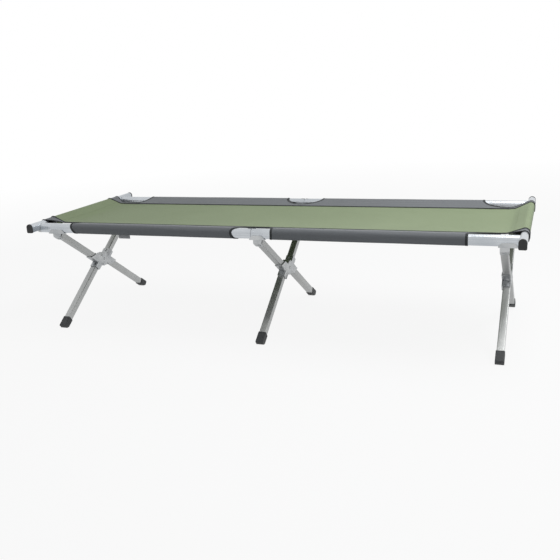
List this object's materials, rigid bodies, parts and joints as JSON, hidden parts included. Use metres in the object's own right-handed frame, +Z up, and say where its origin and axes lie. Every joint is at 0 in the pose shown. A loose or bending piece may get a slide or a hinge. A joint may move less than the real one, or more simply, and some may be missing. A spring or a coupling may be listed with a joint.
{
  "type": "folding cot",
  "caption": "Folding cot: sagging cloth bed between two hinged side rails and end bars, on crossed square-tube legs that fold flat under the rails.",
  "frame": {"origin": "centre of the bounding box at floor level", "axes": "+X along the cot to the right-hand end in the picture, +Y across it to the far side, +Z up"},
  "size_m": [1.9086, 0.778, 0.4518],
  "materials": {
    "rail_metal": "bright anodised tube",
    "bar_metal": "bright anodised tube",
    "link_metal": "plated steel",
    "cast_metal": "satin casting",
    "leg_metal": "satin anodised square tube",
    "cap_plastic": "black moulded plastic",
    "foot_plastic": "dark grey moulded plastic",
    "sleeve_cloth": "dark grey woven cloth",
    "bed_cloth": "sage green woven cloth"
  },
  "bodies": {
    "near_right": {"near_right_rail": "rail_metal", "near_right_sleeve": "sleeve_cloth", "near_middle_bracket": "cast_metal", "near_right_bracket": "cast_metal", "near_right_end_plug": "cast_metal", "right_end_bar": "bar_metal", "near_right_bar_cap": "cap_plastic", "far_right_bar_cap": "cap_plastic", "right_bed_panel": "bed_cloth", "right_end_hem": "bed_cloth"},
    "near_link": {"near_rail_link": "link_metal"},
    "near_left": {"near_left_rail": "rail_metal", "near_left_sleeve": "sleeve_cloth", "near_left_bracket": "cast_metal", "near_left_end_plug": "cast_metal", "left_end_bar": "bar_metal", "near_left_bar_cap": "cap_plastic", "far_left_bar_cap": "cap_plastic", "left_bed_panel": "bed_cloth", "left_end_hem": "bed_cloth"},
    "far_right": {"far_right_rail": "rail_metal", "far_right_sleeve": "sleeve_cloth", "far_middle_bracket": "cast_metal", "far_right_bracket": "cast_metal", "far_right_end_plug": "cast_metal"},
    "far_link": {"far_rail_link": "link_metal"},
    "far_left": {"far_left_rail": "rail_metal", "far_left_sleeve": "sleeve_cloth", "far_left_bracket": "cast_metal", "far_left_end_plug": "cast_metal"},
    "left_near_arm": {"near_left_upper_arm": "leg_metal"},
    "left_hub": {"left_hub": "cast_metal"},
    "left_far_arm": {"far_left_upper_arm": "leg_metal"},
    "left_near_leg": {"near_left_lower_leg": "leg_metal", "near_left_foot": "foot_plastic"},
    "left_far_leg": {"far_left_lower_leg": "leg_metal", "far_left_foot": "foot_plastic"},
    "middle_near_arm": {"near_middle_upper_arm": "leg_metal"},
    "middle_hub": {"middle_hub": "cast_metal"},
    "middle_far_arm": {"far_middle_upper_arm": "leg_metal"},
    "middle_near_leg": {"near_middle_lower_leg": "leg_metal", "near_middle_foot": "foot_plastic"},
    "middle_far_leg": {"far_middle_lower_leg": "leg_metal", "far_middle_foot": "foot_plastic"},
    "right_near_arm": {"near_right_upper_arm": "leg_metal"},
    "right_hub": {"right_hub": "cast_metal"},
    "right_far_arm": {"far_right_upper_arm": "leg_metal"},
    "right_near_leg": {"near_right_lower_leg": "leg_metal", "near_right_foot": "foot_plastic"},
    "right_far_leg": {"far_right_lower_leg": "leg_metal", "far_right_foot": "foot_plastic"}
  },
  "joints": [
    {"name": "right_fold", "type": "hinge", "parent": "near_right", "child": "near_link", "pos_m": [0.01, -0.304, 0.437], "axis": [0, 1, 0], "range_deg": [0, 89]},
    {"name": "left_fold", "type": "hinge", "parent": "near_link", "child": "near_left", "pos_m": [-0.01, -0.304, 0.437], "axis": [0, 1, 0], "range_deg": [0, 89]},
    {"name": "far_right_fold", "type": "hinge", "parent": "far_right", "child": "far_link", "pos_m": [0.01, 0.304, 0.437], "axis": [0, 1, 0], "range_deg": [0, 89]},
    {"name": "far_left_fold", "type": "hinge", "parent": "far_link", "child": "far_left", "pos_m": [-0.01, 0.304, 0.437], "axis": [0, 1, 0], "range_deg": [0, 89]},
    {"name": "left_near_rail_pin", "type": "hinge", "parent": "near_left", "child": "left_near_arm", "pos_m": [-0.878, -0.26085, 0.384], "axis": [0, -0.5736, -0.8192], "range_deg": [0, 90]},
    {"name": "left_near_hub_pin", "type": "hinge", "parent": "left_near_arm", "child": "left_hub", "pos_m": [-0.878, -0.04948, 0.236], "axis": [0, 0.5736, 0.8192], "range_deg": [0, 90]},
    {"name": "left_far_hub_pin", "type": "hinge", "parent": "left_hub", "child": "left_far_arm", "pos_m": [-0.878, 0.04948, 0.236], "axis": [0, -0.5736, 0.8192], "range_deg": [0, 90]},
    {"name": "left_near_knee_pin", "type": "hinge", "parent": "left_hub", "child": "left_near_leg", "pos_m": [-0.878, -0.04948, 0.19601], "axis": [0, 0.5736, -0.8192], "range_deg": [0, 90]},
    {"name": "left_far_knee_pin", "type": "hinge", "parent": "left_hub", "child": "left_far_leg", "pos_m": [-0.878, 0.04948, 0.19601], "axis": [0, 0.5736, 0.8192], "range_deg": [0, 90]},
    {"name": "leg_fold", "type": "hinge", "parent": "near_right", "child": "middle_near_arm", "pos_m": [0.01, -0.26085, 0.384], "axis": [0, -0.5736, -0.8192], "range_deg": [0, 90], "deforming": ["left_bed_panel", "right_bed_panel", "left_end_hem", "right_end_hem"]},
    {"name": "middle_near_hub_pin", "type": "hinge", "parent": "middle_near_arm", "child": "middle_hub", "pos_m": [0.01, -0.04948, 0.236], "axis": [0, 0.5736, 0.8192], "range_deg": [0, 90]},
    {"name": "middle_far_hub_pin", "type": "hinge", "parent": "middle_hub", "child": "middle_far_arm", "pos_m": [0.01, 0.04948, 0.236], "axis": [0, -0.5736, 0.8192], "range_deg": [0, 90]},
    {"name": "middle_far_rail_pin", "type": "hinge", "parent": "middle_far_arm", "child": "far_right", "pos_m": [0.01, 0.26085, 0.384], "axis": [0, 0.5736, -0.8192], "range_deg": [0, 90]},
    {"name": "middle_near_knee_pin", "type": "hinge", "parent": "middle_hub", "child": "middle_near_leg", "pos_m": [0.01, -0.04948, 0.19601], "axis": [0, 0.5736, -0.8192], "range_deg": [0, 90]},
    {"name": "middle_far_knee_pin", "type": "hinge", "parent": "middle_hub", "child": "middle_far_leg", "pos_m": [0.01, 0.04948, 0.19601], "axis": [0, 0.5736, 0.8192], "range_deg": [0, 90]},
    {"name": "right_near_rail_pin", "type": "hinge", "parent": "near_right", "child": "right_near_arm", "pos_m": [0.878, -0.26085, 0.384], "axis": [0, 0.5736, 0.8192], "range_deg": [0, 90]},
    {"name": "right_near_hub_pin", "type": "hinge", "parent": "right_near_arm", "child": "right_hub", "pos_m": [0.878, -0.04948, 0.236], "axis": [0, -0.5736, -0.8192], "range_deg": [0, 90]},
    {"name": "right_far_hub_pin", "type": "hinge", "parent": "right_hub", "child": "right_far_arm", "pos_m": [0.878, 0.04948, 0.236], "axis": [0, 0.5736, -0.8192], "range_deg": [0, 90]},
    {"name": "right_near_knee_pin", "type": "hinge", "parent": "right_hub", "child": "right_near_leg", "pos_m": [0.878, -0.04948, 0.19601], "axis": [0, -0.5736, 0.8192], "range_deg": [0, 90]},
    {"name": "right_far_knee_pin", "type": "hinge", "parent": "right_hub", "child": "right_far_leg", "pos_m": [0.878, 0.04948, 0.19601], "axis": [0, -0.5736, -0.8192], "range_deg": [0, 90]}
  ],
  "couplings": [
    {"joint": "far_right_fold", "follows": "right_fold", "ratio": 1},
    {"joint": "far_left_fold", "follows": "left_fold", "ratio": 1},
    {"joint": "left_near_rail_pin", "follows": "leg_fold", "ratio": 1},
    {"joint": "left_near_hub_pin", "follows": "leg_fold", "ratio": 1},
    {"joint": "left_far_hub_pin", "follows": "leg_fold", "ratio": 1},
    {"joint": "left_near_knee_pin", "follows": "leg_fold", "ratio": 1},
    {"joint": "left_far_knee_pin", "follows": "leg_fold", "ratio": 1},
    {"joint": "middle_near_hub_pin", "follows": "leg_fold", "ratio": 1},
    {"joint": "middle_far_hub_pin", "follows": "leg_fold", "ratio": 1},
    {"joint": "middle_far_rail_pin", "follows": "leg_fold", "ratio": 1},
    {"joint": "middle_near_knee_pin", "follows": "leg_fold", "ratio": 1},
    {"joint": "middle_far_knee_pin", "follows": "leg_fold", "ratio": 1},
    {"joint": "right_near_rail_pin", "follows": "leg_fold", "ratio": 1},
    {"joint": "right_near_hub_pin", "follows": "leg_fold", "ratio": 1},
    {"joint": "right_far_hub_pin", "follows": "leg_fold", "ratio": 1},
    {"joint": "right_near_knee_pin", "follows": "leg_fold", "ratio": 1},
    {"joint": "right_far_knee_pin", "follows": "leg_fold", "ratio": 1}
  ]
}
